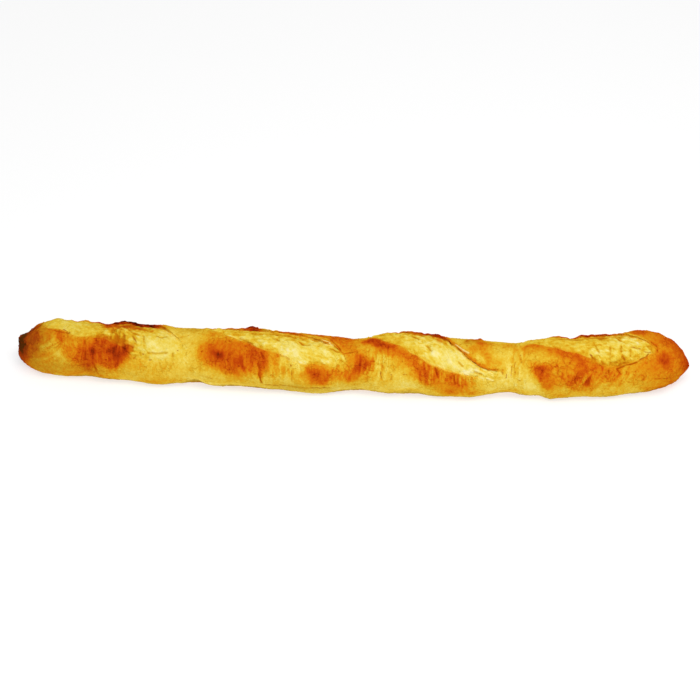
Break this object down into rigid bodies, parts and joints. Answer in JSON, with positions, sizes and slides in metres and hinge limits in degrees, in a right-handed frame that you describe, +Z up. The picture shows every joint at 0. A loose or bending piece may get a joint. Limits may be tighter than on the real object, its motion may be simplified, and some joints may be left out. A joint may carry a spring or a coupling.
{
  "type": "baguette",
  "caption": "Long thin bread loaf with a browned crust, diagonal slashes opened on its crown, pinched ends and a flat base that it lies on.",
  "frame": {"origin": "bottom centre of the bounding box, on the plane that the loaf lies on", "axes": "+X along the loaf, +Y across it towards the back, +Z up"},
  "size_m": [0.6502, 0.073, 0.0525],
  "materials": {
    "crust": "baked bread crust: golden yellow with orange-brown patches, pale cream in the slashes, dry and slightly rough"
  },
  "bodies": {
    "root": {"baguette": "crust"}
  },
  "joints": []
}
